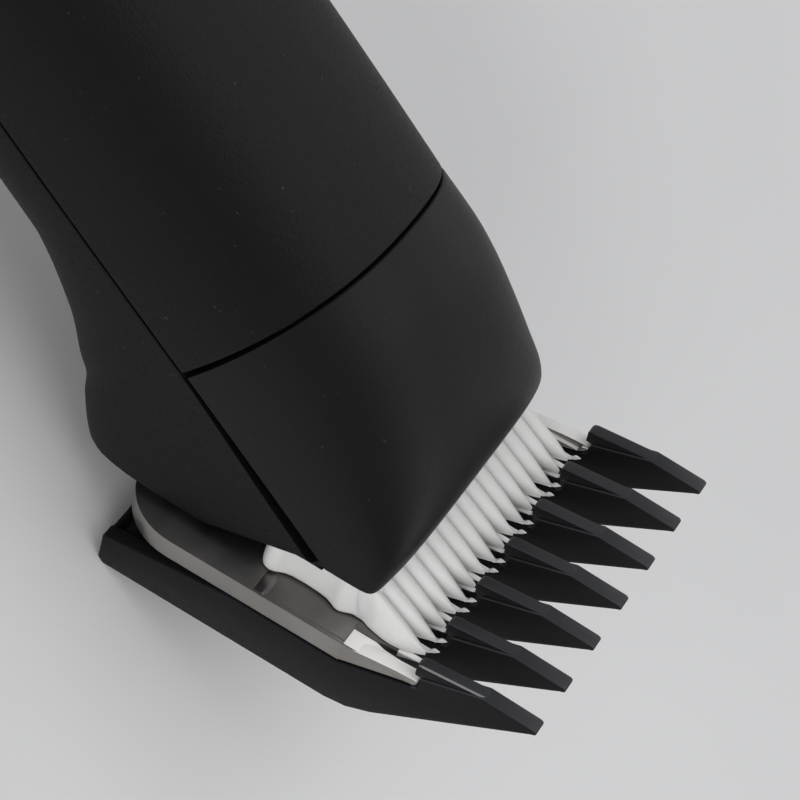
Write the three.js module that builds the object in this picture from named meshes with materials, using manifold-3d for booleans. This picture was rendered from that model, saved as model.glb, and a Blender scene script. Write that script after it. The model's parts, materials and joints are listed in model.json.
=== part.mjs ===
// Cordless hair clipper with a detachable steel and ceramic blade set and a clip-on comb guard.
//
// Three frames, all in millimetres with +Z up and +X towards the teeth:
//   body frame   X along the handle, Z out of its top, origin on the handle axis at the cap seam;
//   blade frame  X across the blade towards the teeth, Z out of the blade's top face,
//                origin under the toe of the lower blade, on the plane of its underside;
//   part frame   the clipper lying on its belly, origin under the middle of its bounding box.

import * as THREE from 'three';
import { mergeVertices } from 'three/addons/utils/BufferGeometryUtils.js';
import ManifoldModule from 'manifold-3d';

const wasm = await ManifoldModule();
wasm.setup();

// ---------------------------------------------------------------- driving dimensions

const bladeAngle = THREE.MathUtils.degToRad(37.7); // blade plane against the handle axis
const bladeOriginX = 47.92;                        // blade frame's origin in the body frame
const bladeOriginZ = 1.77;
const gap = 0.35;                                  // clearance between pieces that touch

const wall = 2.2;                                  // housing wall
const tailEnd = -136;
const tailJoint = -124;                            // seam between shells and tail cap
const tailRound = 9;                               // length of the rounded end
const capSeam = 0;                                 // seam between upper shell and front cap
const capSeatZ = 10;                               // the cap's lower rim, in the blade frame
const tailContactX = -116;                         // where the belly touches the table
const bellyAtTail = 17.2;

const bladeHalf = 24.1;                            // half the width of the lower blade
const bladeThick = 3;
const bladeRear = -43.3;
const bladeToe = 0.8;
const bladeBevel = -9.4;                           // where the toe bevel starts
const bladeCorner = 9;                             // radius of its rear corners in plan
const bladePitch = 1.925;

const cutterHalf = 20.6;
const cutterRear = -24;
const cutterFront = -6.6;
const cutterTip = -0.7;
const cutterBase = 3.35;
const cutterTop = 9.2;
const cutterStep = 7.2;                            // height of its rear half
const cutterPitch = 2.57;
const cutterTeeth = 16;

const combPitch = 7.7;                             // comb guard tooth spacing
const combTeeth = 7;
const combFin = 2.2;                               // tooth thickness
const combRail = 1.7;                              // thickness of the rail above the ledge
const combRear = -43;
const combBottom = -8;
const combTip = 16.4;

const motorRadius = 13.5;
const motorZ = 3.5;
const motorRear = -57;
const motorFront = -21;
const crank = 1.1;                                 // eccentric throw
const forkX = -10.5;                               // where the lever takes the eccentric
const pivotX = 6;                                  // lever pivot
const bearingRadius = 3.9;

const cellRadius = 8.5;                            // 17 mm lithium cells, 50 mm long
const cellRear = -115;
const cellFront = -65;
const cellY = 8.8;
const cellZ = -1;

const hingeX = -47.5;                              // blade hinge pin, in the blade frame
const hingeZ = 5;
const heelFloor = 5.5;                             // underside of the heel, in the blade frame
const pocketTop = 9.5;
const pocketHalf = 11.5;

// ---------------------------------------------------------------- materials

const finish = (color, roughness, metalness = 0) =>
  new THREE.MeshStandardMaterial({ color, roughness, metalness });

const blackShell = finish('#1b1c1e', 0.55);
const combPlastic = finish('#232426', 0.45);
const steel = finish('#9b9691', 0.35, 0.9);
const darkSteel = finish('#4a4a4d', 0.3, 0.9);
const springSteel = finish('#8a7c6c', 0.35, 0.9);
const ceramic = finish('#e9e8e6', 0.3);
const whitePlastic = finish('#d9d9d4', 0.5);
const greyPlastic = finish('#5b5e62', 0.55);
const boardGreen = finish('#1f5a3c', 0.5);
const cellBlue = finish('#2f5f93', 0.45);
const nickel = finish('#b9b6ac', 0.3, 1);
const zincPlate = finish('#a9acb0', 0.35, 0.9);
const bronze = finish('#a27b45', 0.35, 0.9);
const lensPlastic = finish('#7fd08a', 0.2);
const redWire = finish('#a32020', 0.5);
const blackWire = finish('#161616', 0.5);

// ---------------------------------------------------------------- solids

function closedMesh(geometry) {
  const bare = new THREE.BufferGeometry();
  bare.setAttribute('position', geometry.getAttribute('position').clone());
  if (geometry.index) bare.setIndex(geometry.index.clone());
  return mergeVertices(bare, 1e-4);
}

function toSolid(geometry) {
  const mesh = closedMesh(geometry);
  return new wasm.Manifold(new wasm.Mesh({
    numProp: 3,
    vertProperties: Float32Array.from(mesh.getAttribute('position').array),
    triVerts: Uint32Array.from(mesh.index.array),
  }));
}

function toGeometry(solid) {
  const mesh = solid.getMesh();
  const geometry = new THREE.BufferGeometry();
  geometry.setAttribute('position', new THREE.BufferAttribute(Float32Array.from(mesh.vertProperties), 3));
  geometry.setIndex(Array.from(mesh.triVerts));
  return mergeVertices(geometry, 1e-3);
}

// The largest of the bodies that a cut leaves.
const largest = (geometry) => toGeometry(toSolid(geometry).decompose()
  .reduce((most, piece) => (piece.volume() > most.volume() ? piece : most)));

const join = (...geometries) =>
  toGeometry(geometries.map(toSolid).reduce((whole, piece) => whole.add(piece)));

const cut = (geometry, ...tools) =>
  toGeometry(tools.map(toSolid).reduce((whole, tool) => whole.subtract(tool), toSolid(geometry)));

const common = (geometry, ...others) =>
  toGeometry(others.map(toSolid).reduce((whole, other) => whole.intersect(other), toSolid(geometry)));

const box = (x0, x1, y0, y1, z0, z1) =>
  new THREE.BoxGeometry(x1 - x0, y1 - y0, z1 - z0)
    .translate((x0 + x1) / 2, (y0 + y1) / 2, (z0 + z1) / 2);

const rodX = (radius, x0, x1, y, z, sides = 20) =>
  new THREE.CylinderGeometry(radius, radius, x1 - x0, sides)
    .rotateZ(-Math.PI / 2).translate((x0 + x1) / 2, y, z);

const rodY = (radius, x, y0, y1, z, sides = 16) =>
  new THREE.CylinderGeometry(radius, radius, y1 - y0, sides).translate(x, (y0 + y1) / 2, z);

const rodZ = (radius, x, y, z0, z1, sides = 16) =>
  new THREE.CylinderGeometry(radius, radius, z1 - z0, sides)
    .rotateX(Math.PI / 2).translate(x, y, (z0 + z1) / 2);

// An outline in side view, [x, z] points, carried across from y0 to y1.
function slab(outline, y0, y1) {
  const shape = new THREE.Shape(outline.map(([x, z]) => new THREE.Vector2(x, z)));
  return new THREE.ExtrudeGeometry(shape, { depth: y1 - y0, bevelEnabled: false })
    .rotateX(Math.PI / 2).translate(0, y1, 0);
}

// An outline in plan, [x, y] points, carried up from z0 to z1.
function plate(outline, z0, z1) {
  const shape = new THREE.Shape(outline.map(([x, y]) => new THREE.Vector2(x, y)));
  return new THREE.ExtrudeGeometry(shape, { depth: z1 - z0, bevelEnabled: false }).translate(0, 0, z0);
}

// A closed solid through rings of equal length, with flat ends.
function loft(rings) {
  const count = rings[0].length;
  const points = rings.flat();
  const index = [];
  for (let r = 0; r + 1 < rings.length; r++) {
    for (let i = 0; i < count; i++) {
      const a = r * count + i;
      const b = r * count + (i + 1) % count;
      index.push(a, b, a + count, b, b + count, a + count);
    }
  }
  for (const [ring, reverse] of [[0, true], [rings.length - 1, false]]) {
    const middle = points.length;
    const centre = new THREE.Vector3();
    rings[ring].forEach((point) => centre.addScaledVector(point, 1 / count));
    points.push(centre);
    for (let i = 0; i < count; i++) {
      const a = ring * count + i;
      const b = ring * count + (i + 1) % count;
      index.push(...(reverse ? [middle, b, a] : [middle, a, b]));
    }
  }
  const geometry = new THREE.BufferGeometry().setFromPoints(points);
  geometry.setIndex(index);
  return geometry;
}

// A value that runs smoothly through [x, value] keys.
function along(keys, x) {
  const last = keys.length - 1;
  if (x <= keys[0][0]) return keys[0][1];
  if (x >= keys[last][0]) return keys[last][1];
  const i = keys.findIndex(([at]) => at > x) - 1;
  const slope = (a, b) => (keys[b][1] - keys[a][1]) / (keys[b][0] - keys[a][0]);
  const start = i > 0 ? slope(i - 1, i + 1) : slope(i, i + 1);
  const end = i + 2 <= last ? slope(i, i + 2) : slope(i, i + 1);
  const span = keys[i + 1][0] - keys[i][0];
  const t = (x - keys[i][0]) / span;
  return (2 * t ** 3 - 3 * t ** 2 + 1) * keys[i][1] + (t ** 3 - 2 * t ** 2 + t) * span * start
    + (3 * t ** 2 - 2 * t ** 3) * keys[i + 1][1] + (t ** 3 - t ** 2) * span * end;
}

// A round wire along a smooth route, [x, y, z] points.
function wire(radius, route, steps = 14) {
  const section = new THREE.Shape(Array.from({ length: 6 }, (_, i) =>
    new THREE.Vector2(radius * Math.cos(i * Math.PI / 3), radius * Math.sin(i * Math.PI / 3))));
  const path = new THREE.CatmullRomCurve3(route.map(([x, y, z]) => new THREE.Vector3(x, y, z)));
  return new THREE.ExtrudeGeometry(section, { extrudePath: path, steps, bevelEnabled: false });
}

// Head and shank of a machine screw with its head at the bottom, on a vertical axis.
const screw = (x, y, headBottom, headTop, headRadius, tip, shankRadius) =>
  join(rodZ(headRadius, x, y, headBottom, headTop), rodZ(shankRadius, x, y, headTop - 0.5, tip, 12));

const bladeToBody = new THREE.Matrix4().makeRotationY(-bladeAngle)
  .setPosition(bladeOriginX, 0, bladeOriginZ);
const fromBlade = (geometry) => geometry.clone().applyMatrix4(bladeToBody);

// ---------------------------------------------------------------- housing form, body frame

const halfWidth = [[-136, 20.2], [-100, 19.8], [-60, 20.6], [-30, 21.1], [20, 21.1], [40, 21.4]];
const topHeight = [[-136, 21.2], [-100, 21.6], [-60, 23.3], [-25, 24.2], [3, 24.2], [10, 23.6],
  [20, 20.1], [28, 15.7], [32, 12.2], [34.2, 8.3], [35.6, 4.4], [37, 1.6], [44, 0.6]];
const bellyDepth = [[-136, 14.2], [-126, 15.9], [tailContactX, bellyAtTail], [-96, 16.6],
  [-60, 15.6], [-22, 15.6], [-11.4, 18.4], [-5.5, 21.6], [-2.8, 22.4], [-0.3, 24.7],
  [6.8, 28.6], [14, 32], [44, 36]];
const topSquareness = [[0, 2.4], [12, 2.6], [24, 3], [30, 3.7], [35, 4.6], [44, 4.8]];
const bellySquareness = [[-22, 2.4], [-11, 3], [-5, 3.5], [0, 4.3], [3, 5], [7, 5.6]];
const ringPoints = 32;

function bodyRing(x, inset) {
  const over = Math.max(0, (tailEnd + tailRound - x) / tailRound);
  const shrink = Math.max(0.35, (1 - over ** 2.4) ** (1 / 2.4));
  const half = along(halfWidth, x) * shrink - inset;
  const top = along(topHeight, x) * shrink - inset;
  const belly = along(bellyDepth, x) * shrink - inset;
  return Array.from({ length: ringPoints }, (_, i) => {
    const turn = (i / ringPoints) * 2 * Math.PI;
    const across = Math.cos(turn);
    const up = Math.sin(turn);
    const power = 2 / along(up > 0 ? topSquareness : bellySquareness, x);
    return new THREE.Vector3(x,
      half * Math.sign(across) * Math.abs(across) ** power,
      (up > 0 ? top : belly) * Math.sign(up) * Math.abs(up) ** power);
  });
}

const bodyForm = (stations, inset) => loft(stations.map((x) => bodyRing(x, inset)));

const handleStations = [-126, -116, -96, -60, -22];
const heelStations = [-16, -11, -6.5, -2.8, 0, 4, 8, 16, 44];
const capStations = [-4, 4, 9, 15, 22, 28, 31, 33, 34.4, 35.6, 37, 41];
const far = 200;

// ---------------------------------------------------------------- housing pieces, body frame

const bossPlaces = [[-119.6, -9], [-119.6, 9], [-61.5, -16.6], [-61.5, 16.6]];
const bossSeat = -8;                               // screw heads bear here
const screwHead = 2.2;
const screwShank = 1.1;

function upperShell() {
  const stations = [-126, -116, -96, -60, -22, 4];
  const hollow = bodyForm(stations, wall);
  const skin = cut(bodyForm(stations, 0), hollow);
  const bosses = bossPlaces.map(([x, y]) => rodZ(2.8, x, y, gap, far));
  const whole = join(skin, common(join(...bosses), bodyForm(stations, 1)));
  return cut(common(whole, box(tailJoint, capSeam - gap / 2, -far, far, gap / 2, far)),
    ...bossPlaces.map(([x, y]) => rodZ(screwShank + gap, x, y, -1, 9, 12)),
    box(-84.5, -69.5, -4, 4, 10, far),
    rodZ(1.9, -62, 0, 10, far, 12));
}

// The heel's underside: flat behind, then rising clear of the moving cutter.
const heelCut = () => fromBlade(slab([[-90, heelFloor], [-32, heelFloor], [-19, 9.6], [60, 9.6],
  [60, -80], [-90, -80]], -far, far));

function lowerShell() {
  const stations = [...handleStations, ...heelStations];
  const floorKept = fromBlade(join(
    box(-90, -31, -far, far, -far, heelFloor + wall),
    box(-90, -38, -pocketHalf - wall, pocketHalf + wall, -far, 14)));
  const hollow = cut(bodyForm(stations, wall), floorKept);
  const skin = cut(bodyForm(stations, 0), hollow);
  const bosses = bossPlaces.map(([x, y]) => rodZ(3.3, x, y, -far, -gap));
  const ribs = [-50, -30].map((x) =>
    cut(box(x - 1, x + 1, -17, 17, -far, -2), rodX(motorRadius + gap, x - 2, x + 2, 0, motorZ, 28)));
  const whole = join(skin, common(join(...bosses, ...ribs), bodyForm(stations, 1)));
  return largest(cut(common(whole, box(tailJoint, far, -far, far, -far, -gap / 2)),
    heelCut(),
    ...bossPlaces.flatMap(([x, y]) =>
      [rodZ(screwHead + gap, x, y, -far, bossSeat),
        rodZ(screwShank + gap, x, y, -far, far, 12)]),
    fromBlade(box(-52, -20, -pocketHalf, pocketHalf, 0, pocketTop)),
    fromBlade(box(-90, -50, -5.8, 5.8, 0, pocketTop)),
    ...[-7, 7].map((y) => fromBlade(rodZ(1.3, -42.3, y, 0, 13.5, 12)))));
}

function frontCap() {
  const skin = cut(bodyForm(capStations, 0), bodyForm(capStations, wall));
  return cut(common(skin, box(capSeam + gap / 2, far, -far, far, 0.6, far)),
    fromBlade(box(-far, far, -far, far, -far, capSeatZ)));
}

function tailCap() {
  const shell = cut(bodyForm([tailEnd, -135.3, -133.5, -130, -127, -122], 0),
    bodyForm([-133, -130, -127, -120], wall));
  return cut(common(shell, box(-far, tailJoint - gap, -far, far, -far, far)),
    rodX(4.8, -far, far, 0, 1));
}

const shellScrew = ([x, y]) =>
  screw(x, y, bossSeat - 2, bossSeat - gap, screwHead, 8.5, screwShank);

function powerSlider() {
  const knob = slab([[-83.5, 19], [-74.5, 19], [-74.5, 22.8], [-75.2, 23.8], [-77.5, 23.4], [-80.5, 23.4],
    [-82.8, 23.8], [-83.5, 22.8]], -3.4, 3.4);
  return join(knob, box(-88, -71, -5.5, 5.5, 17.2, 19.2));
}

const chargingJack = () =>
  cut(rodX(4.4, -135, -121, 0, 1), rodX(3.4, -136, -124, 0, 1, 16));

// ---------------------------------------------------------------- inside the handle, body frame

function batteryCradle() {
  const block = common(box(cellRear + gap, cellFront - gap, -15.5, 15.5, -14, -4.5),
    bodyForm([-126, -116, -96, -60], wall + gap));
  return cut(block, ...[-cellY, cellY].map((y) =>
    rodX(cellRadius + gap, cellRear - 1, cellFront + 1, y, cellZ, 28)));
}

const batteryCell = (y) => join(rodX(cellRadius, cellRear, cellFront - 1, y, cellZ, 24),
  rodX(3, cellFront - 1.2, cellFront, y, cellZ, 12));

function circuitBoard() {
  const board = box(-112, -66, -11, 11, 11, 12.6);
  const parts = [box(-104, -98, -4, 4, 12.4, 14.2), box(-94, -90, 3, 8, 12.4, 15),
    rodZ(2.6, -70, -6, 12.4, 16.6, 12), box(-110, -106, -9, -3, 12.4, 14.6)];
  return join(board, ...parts);
}

const slideSwitch = () => join(box(-83, -72, -4, 4, 12.9, 15.8), box(-80, -77, -1.2, 1.2, 15.6, 16.8));

function motorCan() {
  const body = join(rodX(motorRadius, motorRear, motorFront, 0, motorZ, 28),
    rodX(4.5, motorFront - 0.5, motorFront + 1.5, 0, motorZ));
  return cut(body, rodX(10.4, motorRear - 1, motorFront - 2, 0, motorZ, 24),
    rodX(2, -30, far, 0, motorZ, 12));
}

const motorEndBell = () => join(rodX(13, -60.3, motorRear - gap, 0, motorZ, 28),
  ...[-7, 7].map((y) => box(-62.3, -60, y - 1, y + 1, motorZ - 0.4, motorZ + 0.4)));

const motorRotor = () => join(
  rodX(1.5, motorRear + 1, forkX - 4, 0, motorZ, 12),
  rodX(9.6, -52, -28, 0, motorZ, 20),
  rodX(4.2, forkX - 6.4, forkX - 3.9, 0, motorZ, 16),
  rodX(2.2, forkX - 4.1, forkX + 3.9, 0, motorZ + crank, 14));

const camBearing = () => cut(rodX(bearingRadius, forkX - 2.9, forkX + 2.9, 0, motorZ + crank, 20),
  rodX(2.5, forkX - 5, forkX + 5, 0, motorZ + crank, 14));

function chassis() {
  const bulkhead = common(box(-20.6, -18, -17, 17, -12.6, 12),
    bodyForm([-60, -22, -16, -11], wall + gap));
  const shelf = box(-18.5, 11, -7, 7, -5, -2);
  return cut(join(bulkhead, shelf),
    rodX(5.2, -30, -10, 0, motorZ), rodZ(1.95, pivotX, 0, -10, 0, 14));
}

function driveLever() {
  const reach = bearingRadius + 2 * crank + gap;
  const fork = cut(box(forkX - 3.5, -2.5, -reach - 2, reach + 2, 0, 7),
    box(forkX - 4.5, forkX + 5.1, -reach, reach, -1, 8));
  const finger = fromBlade(box(-19.5, -15.5, -2, 2, 8.3, 16.5));
  const arm = box(-3, 26.4, -3.6, 3.6, 1.5, 5.5);
  const boss = rodZ(5, pivotX, 0, -0.5, 5.5, 20);
  return cut(join(fork, arm, boss, finger), rodZ(1.95, pivotX, 0, -2, 8, 14));
}

const leverPin = () => join(rodZ(1.6, pivotX, 0, -4.7, 7, 14), rodZ(2.8, pivotX, 0, 5.9, 6.9));

// ---------------------------------------------------------------- blade set, blade frame

// The plan of the lower blade with rounded rear corners.
function bladePlan() {
  const corner = (side) => Array.from({ length: 6 }, (_, i) => {
    const turn = (i / 5) * Math.PI / 2;
    return [bladeRear + bladeCorner * (1 - Math.sin(turn)),
      side * (bladeHalf - bladeCorner * (1 - Math.cos(turn)))];
  });
  return [[bladeToe + 2, -bladeHalf], [bladeToe + 2, bladeHalf], ...corner(1), ...corner(-1).reverse()];
}

function lowerBlade() {
  const side = [[bladeRear - 1, 0], [bladeBevel, 0], [0.3, 3.4], [bladeToe, 3.9], [0.5, 4.25],
    [-2, 4.05], [-8.5, bladeThick], [bladeRear - 1, bladeThick]];
  const body = common(slab(side, -bladeHalf, bladeHalf), plate(bladePlan(), -1, 6));
  const slots = [];
  const teeth = Math.floor(2 * 21.4 / bladePitch);
  for (let i = 0; i <= teeth; i++) {
    const y = (i - teeth / 2) * bladePitch;
    slots.push(plate([[-6, y - 0.3], [5, y - 0.85], [5, y + 0.85], [-6, y + 0.3]], -2, 8));
  }
  const cutterBed = box(-8.5, cutterTip + gap, -22.4, 22.4, bladeThick + 0.2, 8);
  const screwHoles = [-6, 6].map((y) => rodZ(1.6, -32.5, y, -1, 5, 12));
  return cut(body, cutterBed, ...slots, ...screwHoles);
}

function cutterBlade() {
  const rear = box(cutterRear, -12.8, -cutterHalf, cutterHalf, cutterBase, cutterStep);
  const front = slab([[-13, cutterBase], [cutterFront, cutterBase], [cutterFront + 0.6, 8.4],
    [cutterFront - 0.6, cutterTop], [-13, cutterTop]], -cutterHalf, cutterHalf);
  const ends = [-1, 1].map((side) => slab([[-24, 7], [-23.4, 7.6], [-19, cutterTop], [-12.8, cutterTop],
    [-12.8, 7]], ...(side > 0 ? [12.7, cutterHalf] : [-cutterHalf, -12.7])));
  const teeth = [];
  for (let i = 0; i < cutterTeeth; i++) {
    const y = (i - (cutterTeeth - 1) / 2) * cutterPitch;
    const ring = (x, half, top) => [[-1, 0], [1, 0], [0.8, 0.6], [0.35, 1], [-0.35, 1], [-0.8, 0.6]]
      .map(([across, up]) => new THREE.Vector3(x, y + across * half, cutterBase + up * (top - cutterBase)));
    teeth.push(loft([ring(cutterFront - 1, 1.2, 8.9), ring(-4, 1.1, 6.9), ring(cutterTip, 0.3, 3.95)]));
  }
  return join(rear, front, ...ends, ...teeth);
}

const cutterYoke = () => cut(box(-22.5, -13.4, -6, 6, cutterStep + gap, 10.6),
  box(-20.3, -14.7, -2.5, 2.5, 8, 12));

function tensionSpring() {
  const base = box(-36, -29, -10.6, 10.6, bladeThick + gap, 4.3);
  const arms = [-1, 1].map((side) => slab([[-31, 3.4], [-28.6, 3.4], [-25.2, 7.55], [-16, 7.55],
    [-15, 8.2], [-15.3, 9.1], [-17, 8.4], [-25.8, 8.4], [-29.4, 4.3], [-31, 4.3]],
  side > 0 ? 8 : -10.6, side > 0 ? 10.6 : -8));
  return cut(join(base, ...arms), ...[-6, 6].map((y) => rodZ(1.6, -32.5, y, 0, 8, 12)),
    box(-37, -34.6, -2.5, 2.5, 0, 8));
}

const bladeScrew = (y) => join(rodZ(2.3, -32.5, y, 4.65, 6.1), rodZ(1.25, -32.5, y, 0.3, 5, 12));

const bladeSocket = () => cut(box(-42.4, -37, -8, 8, bladeThick + gap, 6.1),
  box(-44, -37.8, -5.5, 5.5, 3.95, 5.95));

const hingeTongue = () => cut(join(box(-46.5, -38.3, -5, 5, 4.3, 5.6),
  rodY(2.1, hingeX, -5.5, 5.5, hingeZ, 18)), rodY(1.35, hingeX, -9, 9, hingeZ, 14));

function hingeBracket() {
  const ears = [-1, 1].map((side) => {
    const inner = 6;
    const outer = 8.2;
    const [y0, y1] = side > 0 ? [inner, outer] : [-outer, -inner];
    return join(rodY(2.4, hingeX, y0, y1, hingeZ, 18), box(hingeX - 2.4, hingeX + 2.4, y0, y1, hingeZ, 8));
  });
  return cut(join(box(-50.4, -40.2, -9.5, 9.5, 7.6, 9.1), ...ears),
    rodY(1.35, hingeX, -9, 9, hingeZ, 14), ...[-7, 7].map((y) => rodZ(1.35, -42.3, y, 0, 12, 12)));
}

const hingePin = () => rodY(1, hingeX, -8.8, 8.8, hingeZ, 14);

const hingeScrew = (y) => screw(-42.3, y, 6.4, 7.3, 1.8, 13, 0.95);

function releaseLatch() {
  const grip = slab([[-55, 6.2], [-54.6, 6.2], [-54.6, 9.1], [-57.4, 9.1], [-57.4, 8.4], [-56.7, 7.9],
    [-56.4, 7.3], [-55.6, 6.5]], -5.3, 5.3);
  const arms = [[-5.3, -2.4], [2.4, 5.3]].map(([y0, y1]) => box(-55, -50.1, y0, y1, 6.2, 7.4));
  return join(grip, ...arms);
}

function latchSpring() {
  const turns = 3;
  const steps = 6 * turns;
  const coil = Array.from({ length: steps + 1 }, (_, i) => {
    const turn = (i / 6) * 2 * Math.PI;
    return [-54.1 + 2.9 * i / steps, 1.25 * Math.cos(turn), 7.5 + 1.25 * Math.sin(turn)];
  });
  return wire(0.3, coil, 1.5 * steps);
}

// ---------------------------------------------------------------- comb guard, blade frame

function combFinSolid(y) {
  const slope = Math.tan(THREE.MathUtils.degToRad(33.8));
  const tipLow = 6.9;
  const ramp = (x) => tipLow - (combTip - 0.6 - x) * slope;
  const under = [[combRear, combBottom + 0.8], [combRear + 0.8, combBottom], [-9.6, combBottom],
    [-6.6, combBottom + 0.5], [-3.4, ramp(-3.4)], [combTip - 0.6, tipLow], [combTip, tipLow + 0.3]];
  const toe = [[1.5, 3.3], [0.2, 2.95], [bladeBevel - 0.1, -0.4]];
  const body = [...under, [combTip, 7.7], [combTip - 0.4, 7.9], [9, 8.2], [1.5, 5.3], ...toe,
    [-25, -0.4], [combRear + 1, -2.7], [combRear, -2.9]];
  const rail = [[1.5, 4.5], [11, 7.6], [11, 8], [9, 8.2], [0.6, 7.2], [0.1, 6.9], [0.1, 5.05],
    [1.5, 4.95]];
  return join(slab(body, y - combFin / 2, y + combFin / 2), slab(rail, y - combRail / 2, y + combRail / 2));
}

function combGuard() {
  const half = (combTeeth - 1) / 2 * combPitch;
  const fins = Array.from({ length: combTeeth }, (_, i) => combFinSolid(i * combPitch - half));
  const floor = box(combRear + 0.6, -12, -half - 0.6, half + 0.6, -4.6, -3);
  const rearWall = box(combRear + 0.2, combRear + 2, -half - 0.6, half + 0.6, combBottom + 0.6, -3);
  return cut(join(floor, rearWall, ...fins), box(-42.6, -33, -7, 7, -2.9, 1));
}

// A spring leaf that stands up behind the blade and grips its rear edge.
const combClip = () => slab([[-41.6, -2.65], [-34, -2.65], [-34, -1.95], [-41.9, -1.95], [-43.9, 0.4],
  [-43.75, 2.3], [-44.6, 3.2], [-45.1, 2.7], [-44.5, 2], [-44.6, 0.2], [-42.4, -2.45]], -6.5, 6.5);

// ---------------------------------------------------------------- assembly

const clipper = new THREE.Group();
const body = new THREE.Group();
const bladeSet = new THREE.Group();
clipper.add(body);
body.add(bladeSet);
bladeSet.applyMatrix4(bladeToBody);

function place(group, name, geometry, material) {
  const mesh = new THREE.Mesh(geometry, material);
  mesh.name = name;
  group.add(mesh);
}

place(body, 'upper_shell', upperShell(), blackShell);
place(body, 'lower_shell', lowerShell(), blackShell);
place(body, 'front_cap', frontCap(), blackShell);
place(body, 'tail_cap', tailCap(), blackShell);
bossPlaces.forEach((spot, i) => place(body, `shell_screw_${i + 1}`, shellScrew(spot), zincPlate));
place(body, 'power_slider', powerSlider(), greyPlastic);
place(body, 'slide_switch', slideSwitch(), whitePlastic);
place(body, 'indicator_lens', rodZ(1.5, -62, 0, 19.6, 23.1, 14), lensPlastic);
place(body, 'charging_jack', chargingJack(), greyPlastic);
place(body, 'jack_pin', rodX(0.9, -130.8, -124.4, 0, 1, 10), nickel);
place(body, 'circuit_board', circuitBoard(), boardGreen);
place(body, 'battery_cradle', batteryCradle(), greyPlastic);
place(body, 'battery_cell_left', batteryCell(cellY), cellBlue);
place(body, 'battery_cell_right', batteryCell(-cellY), cellBlue);
place(body, 'battery_strip_front', box(cellFront + gap, cellFront + 0.9, -12, 12, -3.5, 1.5), nickel);
place(body, 'battery_strip_rear', box(cellRear - 0.9, cellRear - gap, -13, 13, -3.5, 1.5), nickel);
place(body, 'motor_can', motorCan(), zincPlate);
place(body, 'motor_end_bell', motorEndBell(), whitePlastic);
place(body, 'motor_rotor', motorRotor(), darkSteel);
place(body, 'cam_bearing', camBearing(), steel);
place(body, 'motor_lead_red', wire(0.7, [[-66.5, 7, 14], [-64.6, 9.5, 12], [-64, 9, 8], [-62.8, 8.6, 5.2]]),
  redWire);
place(body, 'motor_lead_black',
  wire(0.7, [[-66.5, -7, 14], [-64.6, -9.5, 12], [-64, -9, 8], [-62.8, -8.6, 5.2]]), blackWire);
place(body, 'chassis', chassis(), zincPlate);
place(body, 'drive_lever', driveLever(), whitePlastic);
place(body, 'lever_pin', leverPin(), steel);

place(bladeSet, 'hinge_bracket', hingeBracket(), darkSteel);
place(bladeSet, 'hinge_pin', hingePin(), steel);
[-7, 7].forEach((y, i) => place(bladeSet, `hinge_screw_${i + 1}`, hingeScrew(y), zincPlate));
place(bladeSet, 'release_latch', releaseLatch(), blackShell);
place(bladeSet, 'latch_spring', latchSpring(), springSteel);
place(bladeSet, 'hinge_tongue', hingeTongue(), steel);
place(bladeSet, 'blade_socket', bladeSocket(), darkSteel);
place(bladeSet, 'lower_blade', lowerBlade(), steel);
place(bladeSet, 'cutter_blade', cutterBlade(), ceramic);
place(bladeSet, 'cutter_yoke', cutterYoke(), whitePlastic);
place(bladeSet, 'tension_spring', tensionSpring(), springSteel);
[-6, 6].forEach((y, i) => place(bladeSet, `blade_screw_${i + 1}`, bladeScrew(y), darkSteel));
place(bladeSet, 'comb_guard', combGuard(), combPlastic);
place(bladeSet, 'comb_clip', combClip(), bronze);

// The clipper lies on the rear edge of its comb guard and the swell of its tail.
const heel = new THREE.Vector3(combRear + 0.8, 0, combBottom).applyMatrix4(bladeToBody);
const tilt = Math.atan2(-bellyAtTail - heel.z, heel.x - tailContactX);
body.rotation.y = -tilt;
const bounds = new THREE.Box3().setFromObject(clipper, true);
const middle = bounds.getCenter(new THREE.Vector3());
body.position.set(-middle.x, -middle.y, -bounds.min.z);

export default clipper;
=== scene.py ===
import json
import math

import bmesh
import bpy
import numpy as np
from mathutils import Euler, Matrix, Vector


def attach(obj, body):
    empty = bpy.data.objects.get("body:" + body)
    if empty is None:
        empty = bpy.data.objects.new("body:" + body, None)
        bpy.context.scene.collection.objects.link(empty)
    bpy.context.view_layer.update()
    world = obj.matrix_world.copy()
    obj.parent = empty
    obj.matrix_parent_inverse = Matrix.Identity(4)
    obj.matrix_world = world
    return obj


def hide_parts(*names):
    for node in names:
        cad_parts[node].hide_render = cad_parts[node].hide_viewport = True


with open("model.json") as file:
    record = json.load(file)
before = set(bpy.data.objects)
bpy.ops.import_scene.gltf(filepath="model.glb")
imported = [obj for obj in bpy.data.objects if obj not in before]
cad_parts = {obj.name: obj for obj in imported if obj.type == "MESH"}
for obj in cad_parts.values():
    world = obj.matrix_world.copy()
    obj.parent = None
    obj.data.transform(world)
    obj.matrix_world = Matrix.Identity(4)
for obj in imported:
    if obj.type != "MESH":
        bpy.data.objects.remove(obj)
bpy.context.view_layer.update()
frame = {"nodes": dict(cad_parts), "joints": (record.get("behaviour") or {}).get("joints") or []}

MM = 0.001

# ---------------------------------------------------------------- frames
# Body frame: X along the handle, Z out of its top, origin on the handle axis at the cap seam.
# Blade frame: X towards the teeth, Z out of the blade's top face, origin under the blade's toe.

joints = {joint["name"]: joint for joint in frame["joints"]}


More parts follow.
